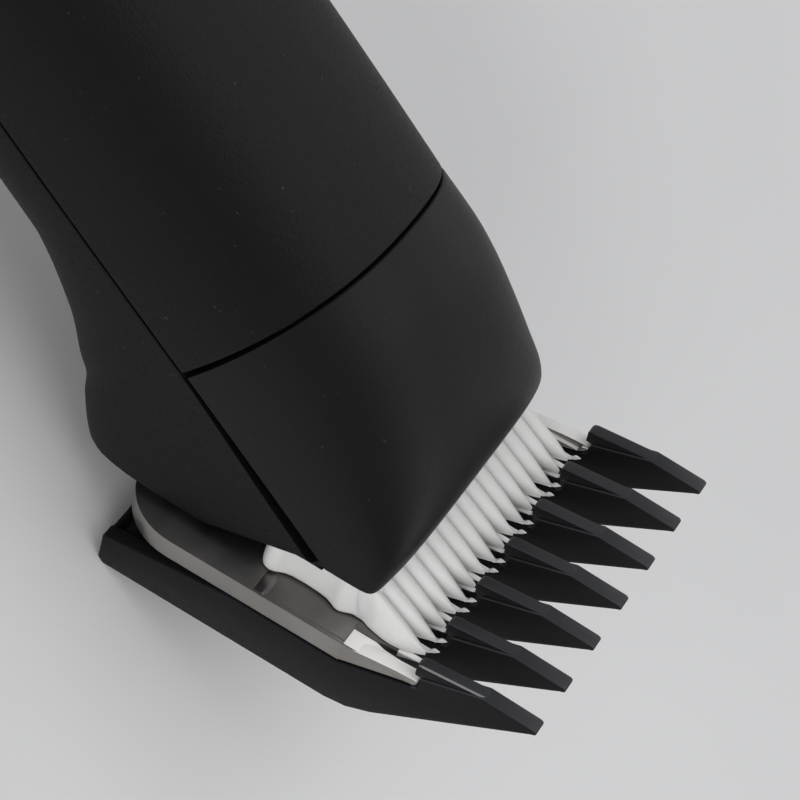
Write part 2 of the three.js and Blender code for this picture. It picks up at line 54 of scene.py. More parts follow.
def frame_matrix(x_axis, known_point, local_point):
    """4 x 4 matrix from a local frame, in mm, to the part frame, in mm."""
    x = np.array(x_axis, float)
    x /= np.linalg.norm(x)
    y = np.array([0.0, 1.0, 0.0])
    z = np.cross(x, y)
    m = np.eye(4)
    m[:3, 0], m[:3, 1], m[:3, 2] = x, y, z
    m[:3, 3] = np.array(known_point) / MM - m[:3, :3] @ np.array(local_point, float)
    return m


BODY = frame_matrix(joints["rotor_spin"]["axis"], joints["rotor_spin"]["pos_m"], (-21, 0, 3.5))
BLADE = frame_matrix([-a for a in joints["latch_slide"]["axis"]], joints["blade_hinge"]["pos_m"],
                     (-47.5, 0, 5))
BODY_TO_BLADE = np.linalg.inv(BLADE) @ BODY


def carry(matrix, points):
    """Points, an array of (..., 3) in mm, through a 4 x 4 matrix."""
    return np.asarray(points, float) @ matrix[:3, :3].T + matrix[:3, 3]


# ---------------------------------------------------------------- housing form, as in the CAD

WALL = 2.0
TAIL_END = -136
TAIL_JOINT = -124
TAIL_ROUND = 9
GAP = 0.35                 # between two pieces of the housing
CAP_SEAT = 10
HEEL_FLOOR = 5.5
SKIN = 0.08                # the smooth skins lie this far inside the curves
SQUARENESS = 2.4           # exponent of the handle's superellipse sections; 2 is an ellipse

HALF_WIDTH = [(-136, 20.2), (-100, 19.8), (-60, 20.6), (-30, 21.1), (20, 21.1), (40, 21.4)]
TOP_HEIGHT = [(-136, 21.2), (-100, 21.6), (-60, 23.3), (-25, 24.2), (3, 24.2), (10, 23.6),
              (20, 20.1), (28, 15.7), (32, 12.2), (34.2, 8.3), (35.6, 4.4), (37, 1.6), (44, 0.6)]
BELLY_DEPTH = [(-136, 14.2), (-126, 15.9), (-116, 17.2), (-96, 16.6), (-60, 15.6), (-22, 15.6),
               (-11.4, 18.4), (-5.5, 21.6), (-2.8, 22.4), (-0.3, 24.7), (6.8, 28.6), (14, 32), (44, 36)]
TOP_SQUARENESS = [(0, 2.4), (12, 2.6), (24, 3), (30, 3.7), (35, 4.6), (44, 4.8)]
BELLY_SQUARENESS = [(-22, 2.4), (-11, 3), (-5, 3.5), (0, 4.3), (3, 5), (7, 5.6)]


def along(keys, x):
    """Smooth curve through (x, value) keys, level beyond both ends."""
    kx = np.array([k[0] for k in keys], float)
    kv = np.array([k[1] for k in keys], float)
    slope = np.empty(len(kx))
    slope[1:-1] = (kv[2:] - kv[:-2]) / (kx[2:] - kx[:-2])
    slope[0] = (kv[1] - kv[0]) / (kx[1] - kx[0])
    slope[-1] = (kv[-1] - kv[-2]) / (kx[-1] - kx[-2])
    x = np.clip(np.asarray(x, float), kx[0], kx[-1])
    i = np.clip(np.searchsorted(kx, x, side="right") - 1, 0, len(kx) - 2)
    span = kx[i + 1] - kx[i]
    t = (x - kx[i]) / span
    return ((2 * t**3 - 3 * t**2 + 1) * kv[i] + (t**3 - 2 * t**2 + t) * span * slope[i]
            + (3 * t**2 - 2 * t**3) * kv[i + 1] + (t**3 - t**2) * span * slope[i + 1])


def tail_shrink(x):
    """Scale of the section at x: 1 along the handle, less in the tail's rounding."""
    over = np.clip((TAIL_END + TAIL_ROUND - np.asarray(x, float)) / TAIL_ROUND, 0, 1)
    return np.maximum(0.35, (1 - over**SQUARENESS) ** (1 / SQUARENESS))


ROUND_SAMPLES = 321        # table points round a half section
QUARTER_SAMPLES = 260      # points of the curve through a quarter section
ACROSS_SAMPLES = 241       # lines of a strip's table, from side to side
ALONG_SAMPLES = 361        # points on each of them
HALVINGS = 44              # steps of a bisection


class Half:
    """Upper or lower half of the housing between two stations, from the -Y side of the split
    plane z = lift round to the +Y side, as a surface over (x, share of the way round)."""

    def __init__(self, upper, lift, stations):
        self.xs = np.asarray(stations, float)
        self.vs = np.linspace(0, 1, ROUND_SAMPLES)
        shrink = tail_shrink(self.xs)
        half = along(HALF_WIDTH, self.xs) * shrink - SKIN
        high = along(TOP_HEIGHT if upper else BELLY_DEPTH, self.xs) * shrink - SKIN
        power = 2 / along(TOP_SQUARENESS if upper else BELLY_SQUARENESS, self.xs)
        self.table = np.empty((len(self.xs), len(self.vs), 2))
        ease = (1 - np.cos(np.linspace(0, np.pi, QUARTER_SAMPLES))) / 2
        for row in range(len(self.xs)):
            start = math.asin(min(1, abs(lift) / high[row]) ** (1 / power[row]))
            quarter = start + (np.pi / 2 - start) * ease
            y = half[row] * np.abs(np.cos(quarter)) ** power[row]
            z = high[row] * np.abs(np.sin(quarter)) ** power[row]
            y[-1] = 0
            y = np.concatenate([-y, y[-2::-1]])
            z = np.concatenate([z, z[-2::-1]]) * (1 if upper else -1)
            length = np.concatenate([[0], np.cumsum(np.hypot(np.diff(y), np.diff(z)))])
            length /= length[-1]
            self.table[row, :, 0] = np.interp(self.vs, length, y)
            self.table[row, :, 1] = np.interp(self.vs, length, z)

    def at(self, x, v):
        """Points in the body frame, in mm."""
        x, v = np.broadcast_arrays(np.asarray(x, float), np.asarray(v, float))
        cx = np.clip(x, self.xs[0], self.xs[-1])
        i = np.clip(np.searchsorted(self.xs, cx, side="right") - 1, 0, len(self.xs) - 2)
        s = (cx - self.xs[i]) / (self.xs[i + 1] - self.xs[i])
        fine = np.clip(v, 0, 1) * (len(self.vs) - 1)
        j = np.clip(fine.astype(int), 0, len(self.vs) - 2)
        t = fine - j
        s, t = s[..., None], t[..., None]
        yz = ((1 - s) * ((1 - t) * self.table[i, j] + t * self.table[i, j + 1])
              + s * ((1 - t) * self.table[i + 1, j] + t * self.table[i + 1, j + 1]))
        return np.concatenate([x[..., None], yz], axis=-1)


def reach(half, rim, v, low, high):
    """Station at which the line of constant v meets the rim: rim(points) falls through 0."""
    low = np.full(np.shape(v), float(low))
    high = np.full(np.shape(v), float(high))
    for _ in range(HALVINGS):
        middle = (low + high) / 2
        inside = rim(half.at(middle, v)) > 0
        low = np.where(inside, middle, low)
        high = np.where(inside, high, middle)
    return (low + high) / 2


def strip_surface(half, start, end_of):
    """S(u, v) whose lines of constant v run from station start to end_of(v), with u the share of
    the line's length."""
    vs = np.linspace(0, 1, ACROSS_SAMPLES)
    ends = end_of(vs)
    us = np.linspace(0, 1, ALONG_SAMPLES)
    x = start + (ends[None, :] - start) * us[:, None]
    points = half.at(x, np.broadcast_to(vs, x.shape))
    step = np.linalg.norm(np.diff(points, axis=0), axis=-1)
    length = np.concatenate([np.zeros((1, len(vs))), np.cumsum(step, axis=0)])
    length /= length[-1]
    even = np.empty_like(x)
    for column in range(len(vs)):
        even[:, column] = np.interp(us, length[:, column], x[:, column])

    def surface(u, v):
        u, v = np.broadcast_arrays(np.clip(u, 0, 1), np.clip(v, 0, 1))
        fu, fv = u * (len(us) - 1), v * (len(vs) - 1)
        i = np.clip(fu.astype(int), 0, len(us) - 2)
        j = np.clip(fv.astype(int), 0, len(vs) - 2)
        s, t = fu - i, fv - j
        station = ((1 - s) * ((1 - t) * even[i, j] + t * even[i, j + 1])
                   + s * ((1 - t) * even[i + 1, j] + t * even[i + 1, j + 1]))
        return half.at(station, v)

    return surface


# ---------------------------------------------------------------- meshes


def piece(name, parts, matrix, material, body, replaces=(), smooth=35):
    """One mesh object from (points in mm, faces) parts in a local frame, riding on a body. Edges
    sharper than smooth, in degrees, are shaded sharp."""
    mesh = bpy.data.meshes.new(name)
    points, faces, count = [], [], 0
    for part_points, part_faces in parts:
        points.extend(carry(matrix, part_points) * MM)
        faces.extend([tuple(i + count for i in face) for face in part_faces])
        count += len(part_points)
    mesh.from_pydata([tuple(p) for p in points], [], faces)
    bm = bmesh.new()
    bm.from_mesh(mesh)
    bmesh.ops.remove_doubles(bm, verts=bm.verts, dist=2e-7)
    bmesh.ops.dissolve_degenerate(bm, edges=bm.edges, dist=1e-7)
    bmesh.ops.recalc_face_normals(bm, faces=bm.faces)
    bm.to_mesh(mesh)
    bm.free()
    obj = bpy.data.objects.new(name, mesh)
    bpy.context.scene.collection.objects.link(obj)
    mesh.shade_smooth()
    mesh.set_sharp_from_angle(angle=math.radians(smooth))
    mesh.materials.append(material)
    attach(obj, body)
    if replaces:
        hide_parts(*replaces)
    return obj


def bevel(obj, width, segments=2):
    """Rounds the sharp edges of an object, and keeps the result in the mesh."""
    modifier = obj.modifiers.new("round", "BEVEL")
    modifier.width = width * MM
    modifier.segments = segments
    modifier.limit_method = "ANGLE"
    modifier.angle_limit = math.radians(30)
    keep(obj)
    obj.data.shade_smooth()
    obj.data.set_sharp_from_angle(angle=math.radians(40))


def keep(obj):
    """Applies an object's modifiers."""
    graph = bpy.context.evaluated_depsgraph_get()
    made = bpy.data.meshes.new_from_object(obj.evaluated_get(graph))
    old = obj.data
    obj.modifiers.clear()
    obj.data = made
    made.name = old.name
    bpy.data.meshes.remove(old)


def cut(obj, tools, matrix):
    """Cuts closed solids, (points, faces) in a local frame, out of an object."""
    for points, faces in tools:
        mesh = bpy.data.meshes.new("tool")
        mesh.from_pydata([tuple(p) for p in carry(matrix, points) * MM], [], faces)
        bm = bmesh.new()
        bm.from_mesh(mesh)
        bmesh.ops.recalc_face_normals(bm, faces=bm.faces)
        bm.to_mesh(mesh)
        bm.free()
        tool = bpy.data.objects.new("tool", mesh)
        bpy.context.scene.collection.objects.link(tool)
        modifier = obj.modifiers.new("cut", "BOOLEAN")
        modifier.operation = "DIFFERENCE"
        modifier.solver = "EXACT"
        modifier.object = tool
        keep(obj)
        bpy.data.objects.remove(tool)
        bpy.data.meshes.remove(mesh)


def local_centre(obj, face, to_local):
    """Centre of a face, in mm, in a local frame."""
    return carry(to_local, np.array(obj.matrix_world @ face.center) / MM)


def grid_faces(rows, columns, closed=False):
    """Quads over a grid of points, row by row. A closed grid joins its last column to its first."""
    faces = []
    for i in range(rows - 1):
        for j in range(columns if closed else columns - 1):
            k = (j + 1) % columns
            faces.append((i * columns + j, i * columns + k, (i + 1) * columns + k, (i + 1) * columns + j))
    return faces


def prism(outline, low, high, axis="y"):
    """Closed solid: an outline carried from low to high. An (x, z) outline is carried along y,
    and an (x, y) outline along z."""
    n = len(outline)
    points = []
    for level in (low, high):
        for a, b in outline:
            points.append((a, level, b) if axis == "y" else (a, b, level))
    faces = [tuple(range(n)), tuple(range(2 * n - 1, n - 1, -1))]
    for i in range(n):
        k = (i + 1) % n
        faces.append((i, k, n + k, n + i))
    return np.array(points, float), faces


def block(x0, x1, y0, y1, z0, z1):
    return prism([(x0, z0), (x1, z0), (x1, z1), (x0, z1)], y0, y1)


def rod(centre, radius, low, high, sides=32):
    """Closed upright cylinder about centre, an (x, y)."""
    turns = np.linspace(0, 2 * np.pi, sides, endpoint=False)
    circle = zip(centre[0] + radius * np.cos(turns), centre[1] + radius * np.sin(turns))
    return prism(list(circle), low, high, "z")


def loft(rings):
    """Closed solid through rings of equal length."""
    n = len(rings[0])
    faces = grid_faces(len(rings), n, closed=True)
    faces.append(tuple(range(n)))
    faces.append(tuple(range((len(rings) - 1) * n, len(rings) * n)))
    return np.array([p for ring in rings for p in ring], float), faces


# A rounded edge of radius 1, as (distance in from the edge, depth below the surface).
ARC = [(1 - math.sin(a), 1 - math.cos(a)) for a in (math.radians(d) for d in (90, 68, 45, 22, 0))]


def thick(surface, us, vs, wall, rounds):
    """Closed shell from a surface S(u, v), with a wall inwards and its four edges rounded.
    rounds are the edge radii at u = 0, u = 1, v = 0 and v = 1."""

    def lines(shares, low_radius, high_radius):
        """Share, distance in from the edge and depth of every grid line in one direction."""

        def edge(radius):
            return [(0.0, wall)] + [(radius * a, radius * d) for a, d in ARC]

        grid = [(0, a, d) for a, d in edge(low_radius)]
        grid += [(share, 0, 0) for share in shares]
        grid += [(1, -a, d) for a, d in reversed(edge(high_radius))]
        return np.array(grid, float).T

    def speed(u, v, du, dv):
        """Change of the surface with u (du = 1) or with v (dv = 1)."""
        step = 1e-4
        a = surface(np.clip(u + du * step, 0, 1), np.clip(v + dv * step, 0, 1))
        b = surface(np.clip(u - du * step, 0, 1), np.clip(v - dv * step, 0, 1))
        span = (np.clip(u + du * step, 0, 1) - np.clip(u - du * step, 0, 1)) * du
        span = span + (np.clip(v + dv * step, 0, 1) - np.clip(v - dv * step, 0, 1)) * dv
        return (a - b) / span[..., None]

    share_u, inset_u, depth_u = lines(us, *rounds[:2])
    share_v, inset_v, depth_v = lines(vs, *rounds[2:])
    depth = np.maximum(depth_u[:, None], depth_v[None, :])
    u, v = np.meshgrid(share_u, share_v, indexing="ij")
    run_u = np.linalg.norm(speed(u, v, 1, 0), axis=-1)
    run_v = np.linalg.norm(speed(u, v, 0, 1), axis=-1)
    u = u + inset_u[:, None] / run_u
    v = v + inset_v[None, :] / run_v
    points = surface(u, v)
    normal = np.cross(speed(u, v, 1, 0), speed(u, v, 0, 1))
    normal /= np.linalg.norm(normal, axis=-1)[..., None]
    outward = np.sum(normal * (points * [0, 1, 1]), axis=-1)
    if np.mean(outward) < 0:
        normal = -normal
    outer = points - normal * depth[..., None]
    inner = points - normal * wall
    both = np.concatenate([outer.reshape(-1, 3), inner.reshape(-1, 3)])
    faces = grid_faces(*u.shape)
    faces += [tuple(i + u.size for i in reversed(face)) for face in faces]
    return both, faces


def spread(count):
    """Evenly spaced shares between 0 and 1, without the ends."""
    return np.linspace(0, 1, count + 2)[1:-1]


def sided(side, inner, outer):
    """Range of y between two distances from the middle plane, on one side of it."""
    return sorted((side * inner, side * outer))


# ---------------------------------------------------------------- materials


class Nodes:
    """A material's node tree, built step by step."""

    def __init__(self, name):
        self.material = bpy.data.materials.new(name)
        self.material.use_nodes = True
        self.tree = self.material.node_tree
        self.shader = self.tree.nodes["Principled BSDF"]
        self.place = self.tree.nodes.new("ShaderNodeTexCoord").outputs["Object"]

    def add(self, kind, settings=None, **inputs):
        node = self.tree.nodes.new(kind)
        for key, value in (settings or {}).items():
            setattr(node, key, value)
        for key, value in inputs.items():
            self.put(node.inputs[key.replace("_", " ")], value)
        return node

    def put(self, socket, value):
        if isinstance(value, bpy.types.NodeSocket):
            self.tree.links.new(value, socket)
        else:
            socket.default_value = value

    def noise(self, scale, detail=3, rough=0.5, stretch=None):
        place = self.place
        if stretch:
            mapping = self.add("ShaderNodeMapping", Vector=place)
            mapping.inputs["Scale"].default_value = stretch
            place = mapping.outputs["Vector"]
        return self.add("ShaderNodeTexNoise", Vector=place, Scale=scale, Detail=detail,
                        Roughness=rough).outputs["Fac"]

    def cells(self, scale):
        return self.add("ShaderNodeTexVoronoi", Vector=self.place, Scale=scale).outputs["Distance"]

    def ramp(self, value, low, high, at=(0.0, 1.0)):
        """Maps a value linearly onto low to high."""
        node = self.add("ShaderNodeMapRange", Value=value)
        node.inputs["From Min"].default_value = at[0]
        node.inputs["From Max"].default_value = at[1]
        node.inputs["To Min"].default_value = low
        node.inputs["To Max"].default_value = high
        return node.outputs["Result"]

    def mix(self, share, a, b):
        """Colour between a and b."""
        node = self.add("ShaderNodeMix", {"data_type": "RGBA"})
        self.put(node.inputs[0], share)
        for socket, value in ((node.inputs[6], a), (node.inputs[7], b)):
            self.put(socket, (*value, 1) if isinstance(value, tuple) and len(value) == 3 else value)
        return node.outputs[2]

    def bump(self, *layers):
        """Stacks bump layers of (height, depth in mm, strength)."""
        normal = None
        for height, depth, strength in layers:
            node = self.add("ShaderNodeBump", Height=height, Strength=strength)
            node.inputs["Distance"].default_value = depth * MM
            if normal:
                self.put(node.inputs["Normal"], normal)
            normal = node.outputs["Normal"]
        self.put(self.shader.inputs["Normal"], normal)

    def set(self, **values):
        for key, value in values.items():
            self.put(self.shader.inputs[key.replace("_", " ")], value)


def moulded(name, dark, light, rough=(0.45, 0.6), grain=0.03, grain_scale=2600, level=0.5):
    """Moulded plastic with a fine grain and slight clouding."""
    m = Nodes(name)
    cloud = m.noise(55, 4)
    fine = m.noise(900, 2)
    m.set(Base_Color=m.mix(cloud, dark, light), Roughness=m.ramp(fine, *rough, at=(0.3, 0.7)))
    m.shader.inputs["Specular IOR Level"].default_value = level
    m.bump((m.cells(grain_scale), grain, 0.5), (m.noise(grain_scale * 0.7, 2), grain * 0.7, 0.4))
    return m.material


def metal(name, dark, light, rough=(0.25, 0.45), stretch=(1, 1, 1), scale=900, scratch=0.01):
    """Worked metal with a brushed or ground texture along one direction."""
    m = Nodes(name)
    cloud = m.noise(120, 4)
    lines = m.noise(scale, 4, 0.6, stretch)
    m.set(Base_Color=m.mix(cloud, dark, light), Metallic=1.0,
          Roughness=m.ramp(lines, *rough, at=(0.3, 0.7)))
    m.bump((lines, scratch, 0.4))
    return m.material


def leather(name, dark, light, rough, level, grain, scale):
    """Black moulded plastic with a fine leather grain and a few bright specks painted in as glints of the grain.
    """
    m = Nodes(name)
    cloud = m.noise(40, 3)
    cells = m.cells(scale)
    wrinkle = m.noise(scale * 0.8, 3, 0.6, (1, 1.6, 1))
    # Painted glints: a few pale specks mixed into the black.
    glint_specks = m.ramp(m.noise(scale * 0.6, 1, 0.4), 0, 1, at=(0.77, 0.82))
    tint = m.mix(glint_specks, m.mix(cloud, dark, light), (0.03, 0.03, 0.032))
    m.set(Base_Color=tint, Roughness=m.ramp(cells, *rough, at=(0.1, 0.8)))
    m.shader.inputs["Specular IOR Level"].default_value = level
    m.bump((cells, grain, 0.6), (wrinkle, grain * 0.8, 0.5))
    return m.material


shell_black = leather("shell_black", (0.0036, 0.0036, 0.0042), (0.0052, 0.0052, 0.006), (0.46, 0.58),
                      level=0.19, grain=0.06, scale=2900)
cap_black = leather("cap_black", (0.0042, 0.0042, 0.0049), (0.0058, 0.0058, 0.0067), (0.42, 0.52),
                    level=0.21, grain=0.024, scale=3600)
comb_charcoal = moulded("comb_charcoal", (0.006, 0.0062, 0.007), (0.0095, 0.0097, 0.0108), (0.36, 0.48),
                        0.012, 2200, level=0.12)
# Paler copy of the comb's plastic: painted light for the faces that look up and the rails' edges.
comb_painted_light = moulded("comb_painted_light", (0.024, 0.0245, 0.026), (0.042, 0.043, 0.045), (0.34, 0.46), 0.025, 1900,
                   level=0.25)
# Much paler rail edge: real wear together with a painted highlight where the edge catches the light.
comb_wear_and_highlight = moulded("comb_wear_and_highlight", (0.06, 0.06, 0.062), (0.3, 0.3, 0.305), (0.25, 0.4), 0.03, 1800)
grey_plastic = moulded("grey_plastic", (0.085, 0.088, 0.092), (0.12, 0.125, 0.13), (0.4, 0.55), 0.02, 2400)
cradle_plastic = moulded("cradle_plastic", (0.08, 0.084, 0.09), (0.11, 0.115, 0.12), (0.45, 0.6), 0.01)
white_plastic = moulded("white_plastic", (0.62, 0.62, 0.58), (0.7, 0.7, 0.66), (0.35, 0.5), 0.006)
board_green = moulded("board_green", (0.014, 0.085, 0.04), (0.02, 0.11, 0.05), (0.25, 0.4), 0.004)
cell_sleeve = moulded("cell_sleeve", (0.025, 0.1, 0.26), (0.035, 0.125, 0.31), (0.2, 0.3), 0.003)
lead_red = moulded("lead_red", (0.32, 0.012, 0.012), (0.4, 0.018, 0.016), (0.3, 0.45), 0.004)
lead_black = moulded("lead_black", (0.009, 0.009, 0.009), (0.013, 0.013, 0.013), (0.3, 0.45), 0.004)
ground_steel = metal("ground_steel", (0.27, 0.255, 0.24), (0.38, 0.36, 0.34), (0.3, 0.46), (1, 0.06, 1), 2600,
                     0.006)
dark_steel = metal("dark_steel", (0.055, 0.055, 0.058), (0.1, 0.098, 0.1), (0.28, 0.42))
spring_steel = metal("spring_steel", (0.25, 0.2, 0.15), (0.34, 0.28, 0.21), (0.25, 0.4), (1, 0.1, 1))
zinc_plate = metal("zinc_plate", (0.38, 0.39, 0.41), (0.5, 0.51, 0.53), (0.3, 0.45))
nickel = metal("nickel", (0.5, 0.48, 0.42), (0.6, 0.58, 0.52), (0.15, 0.3))
bronze = metal("bronze", (0.3, 0.17, 0.07), (0.42, 0.26, 0.12), (0.3, 0.45), (1, 0.1, 1))
laminations = metal("laminations", (0.06, 0.06, 0.062), (0.1, 0.1, 0.1), (0.3, 0.5), (18, 0.2, 0.2), 300, 0.03)


def machined_steel():
    """Top face of the lower blade: dark cast and machined steel with soft hollows, painted darker in the hollows
    as shade.
    """
    m = Nodes("machined_steel")
    hollows_with_painted_shade = m.noise(180, 3, 0.5, (1, 0.5, 1))
    lines = m.noise(2400, 3, 0.6, (1, 0.08, 1))
    # The colour follows the hollows' noise: painted shade, darker where the bump sinks.
    m.set(Base_Color=m.mix(hollows_with_painted_shade, (0.16, 0.152, 0.147), (0.3, 0.29, 0.28)), Metallic=1.0,
          Roughness=m.ramp(hollows_with_painted_shade, 0.38, 0.55, at=(0.3, 0.7)))
    m.bump((hollows_with_painted_shade, 0.12, 0.5), (lines, 0.006, 0.4))
    return m.material


def painted_glint_steel():
    """Painted reflection: near-white, barely metallic steel for a ground facet that reflects the light, with fine
    scratches across it.
    """
    m = Nodes("painted_glint_steel")
    m.set(Base_Color=m.mix(m.noise(300, 4), (0.86, 0.845, 0.82), (0.97, 0.96, 0.94)), Metallic=0.1,
          Roughness=m.ramp(m.noise(2600, 4, 0.6, (0.08, 1, 1)), 0.3, 0.5, at=(0.3, 0.7)))
    m.bump((m.noise(1500, 3, 0.6, (0.1, 1, 1)), 0.01, 0.5))
    return m.material


def ceramic_white():
    """White ceramic, slightly translucent, with faint moulding clouds."""
    m = Nodes("ceramic_white")
    cloud = m.noise(140, 4)
    m.set(Base_Color=m.mix(cloud, (0.58, 0.575, 0.565), (0.66, 0.655, 0.645)),
          Roughness=m.ramp(m.noise(600, 3), 0.28, 0.4, at=(0.3, 0.7)))
    m.shader.inputs["Subsurface Weight"].default_value = 0.25
    m.shader.inputs["Subsurface Radius"].default_value = (0.9, 0.75, 0.65)
    m.shader.inputs["Subsurface Scale"].default_value = 0.6 * MM
    m.bump((m.noise(900, 3), 0.01, 0.35))
    return m.material


def lens_material():
    """Clear green lens."""
    m = Nodes("lens_clear")
    m.set(Base_Color=m.mix(m.noise(300), (0.2, 0.5, 0.25), (0.3, 0.62, 0.34)),
          Roughness=m.ramp(m.noise(500), 0.08, 0.16))
    m.shader.inputs["Transmission Weight"].default_value = 0.6
    return m.material


blade_top = machined_steel()
# Near-white and barely metallic: a painted reflection on the lugs' facets and the teeth.
lug_painted_glint = painted_glint_steel()
ceramic = ceramic_white()
lens_clear = lens_material()

# Materials of the nodes that are shown as the CAD has them.
CARRIED = {
    "shell_screw_1": zinc_plate, "shell_screw_2": zinc_plate, "shell_screw_3": zinc_plate,
    "shell_screw_4": zinc_plate, "slide_switch": white_plastic, "indicator_lens": lens_clear,
    "charging_jack": grey_plastic, "jack_pin": nickel, "circuit_board": board_green,
    "battery_cradle": cradle_plastic, "battery_cell_left": cell_sleeve, "battery_cell_right": cell_sleeve,
    "battery_strip_front": nickel, "battery_strip_rear": nickel, "motor_can": zinc_plate,
    "motor_end_bell": white_plastic, "motor_rotor": laminations, "cam_bearing": ground_steel,
    "motor_lead_red": lead_red, "motor_lead_black": lead_black, "chassis": zinc_plate,
    "drive_lever": white_plastic, "lever_pin": ground_steel, "hinge_bracket": dark_steel,
    "hinge_pin": ground_steel, "hinge_screw_1": zinc_plate, "hinge_screw_2": zinc_plate,
    "release_latch": cap_black, "latch_spring": spring_steel, "hinge_tongue": ground_steel,
    "blade_socket": dark_steel, "cutter_yoke": white_plastic, "tension_spring": spring_steel,
    "blade_screw_1": dark_steel, "blade_screw_2": dark_steel, "comb_clip": bronze,
}
for node_name, node_material in CARRIED.items():
    node = frame["nodes"][node_name]
    node.data.materials.clear()
    node.data.materials.append(node_material)

# ---------------------------------------------------------------- housing

CAP_WALL = 1.6
HEEL_FLAT = -32            # blade frame: the heel's underside is level behind this
HEEL_EDGE = (-19, 9.6)     # and rises to this (x, z)

# Stations at which the sections are worked out, closer in the tail's rounding and in front.
body_stations = np.concatenate([np.linspace(TAIL_END, -123, 131), np.linspace(-122.9, -23, 400),
                                np.linspace(-22.9, 44, 900)])
upper_half = Half(True, GAP / 2, body_stations)
lower_half = Half(False, GAP / 2, body_stations)
cap_half = Half(True, GAP, body_stations[body_stations > -1])


def cap_rim(points):
    """Height over the cap's lower rim, in the blade frame."""
    return carry(BODY_TO_BLADE, points)[..., 2] - CAP_SEAT


def heel_rim(points):
    """Height over the heel's underside, in the blade frame: flat, then rising."""
    blade = carry(BODY_TO_BLADE, points)
    return blade[..., 2] - np.interp(blade[..., 0], [HEEL_FLAT, HEEL_EDGE[0]], [HEEL_FLOOR, HEEL_EDGE[1]])


def seam_end(v):
    """Front end of the upper shell: the seam behind the cap."""
    return np.full_like(v, -GAP / 2)


def heel_end(v):
    """Front end of the lower shell: the heel's rim."""
    return reach(lower_half, heel_rim, v, -20, 43)


def cap_end(v):
    """Front end of the cap: its lower rim."""
    return reach(cap_half, cap_rim, v, 5, 43.9)


upper_shell = piece("upper_shell_skin", [thick(
    strip_surface(upper_half, TAIL_JOINT, seam_end), spread(120), spread(110), WALL, (0.3, 0.32, 0.12, 0.12))],
    BODY, shell_black, "housing", ["upper_shell"])

lower_shell = piece("lower_shell_skin", [thick(
    strip_surface(lower_half, TAIL_JOINT, heel_end), spread(170), spread(130), WALL, (0.3, 0.25, 0.12, 0.12))],
    BODY, shell_black, "housing", ["lower_shell"])

front_cap = piece("front_cap_skin", [thick(
    strip_surface(cap_half, GAP / 2, cap_end), spread(60), spread(140), CAP_WALL, (0.32, 0.3, 0.25, 0.25))],
    BODY, cap_black, "housing", ["front_cap"])

PAST_SIDE = 26             # y beyond the housing's sides

# The seam behind the cap is wider down the sides than over the top.
cut(front_cap, [prism([(-1, -2), (0.6, -2), (0.12, 24), (-1, 24)], -PAST_SIDE, PAST_SIDE)], BODY)

# The gap below the cap widens towards its rounded front end, and a small tab shuts the rest.
GAP_END = 28.3
TAB_LOW, TAB_HIGH = -0.4, 0.33
TAB_INNER, TAB_OUTER = 19.3, 21.05
gap_side = [(0.1, 0.3), (0.1, -0.2), (5, -0.35), (12, -0.75), (20, -1.15), (GAP_END - 0.9, -1.35),
            (GAP_END - 0.3, -1.15), (GAP_END, -0.6), (GAP_END, 0.3)]
cut(lower_shell, [prism(gap_side, *sided(side, 16, PAST_SIDE)) for side in (-1, 1)], BODY)


def tab(side):
    """Tab of the lower shell between the gap's end and the cap's lower rim."""

    def edge(z):
        """Station 0.15 mm behind the rim, at height z."""
        return (CAP_SEAT - BODY_TO_BLADE[2, 3] - BODY_TO_BLADE[2, 2] * z) / BODY_TO_BLADE[2, 0] - 0.15

    rear = GAP_END + 0.04
    outline = [(rear, TAB_LOW), (edge(TAB_LOW), TAB_LOW), (edge(TAB_HIGH), TAB_HIGH), (rear, TAB_HIGH)]
    return prism(outline, *sided(side, TAB_INNER, TAB_OUTER))


for side, name in ((-1, "right"), (1, "left")):
    piece("heel_tab_" + name, [tab(side)], BODY, cap_black, "housing")


# Sunk screw seats in the lower shell.
BOSS_PLACES = [(-119.6, -9), (-119.6, 9), (-61.5, -16.6), (-61.5, 16.6)]
BOSS_RADIUS = 3.3
BOSS_SEAT = -8
SCREW_HEAD = 2.2
SCREW_SHANK = 1.1
BELLY_HALF = 21            # half width of the belly, roughly
PAST_BELLY = -40           # z below the housing
cut(lower_shell, [rod(place, SCREW_HEAD + GAP, PAST_BELLY, BOSS_SEAT) for place in BOSS_PLACES], BODY)
for number, (x, y) in enumerate(BOSS_PLACES, 1):
    outermost = min(0.98, (abs(y) + BOSS_RADIUS) / BELLY_HALF)
    skin = -float(along(BELLY_DEPTH, x)) * (1 - outermost ** SQUARENESS) ** (1 / SQUARENESS)
    boss = piece("screw_boss_%d" % number,
                 [rod((x, y), BOSS_RADIUS, max(skin + 0.7, BOSS_SEAT - 3), BOSS_SEAT + 3)],
                 BODY, shell_black, "housing")
    cut(boss, [rod((x, y), SCREW_HEAD + GAP, PAST_BELLY, BOSS_SEAT),
               rod((x, y), SCREW_SHANK + GAP, PAST_BELLY, 10)], BODY)

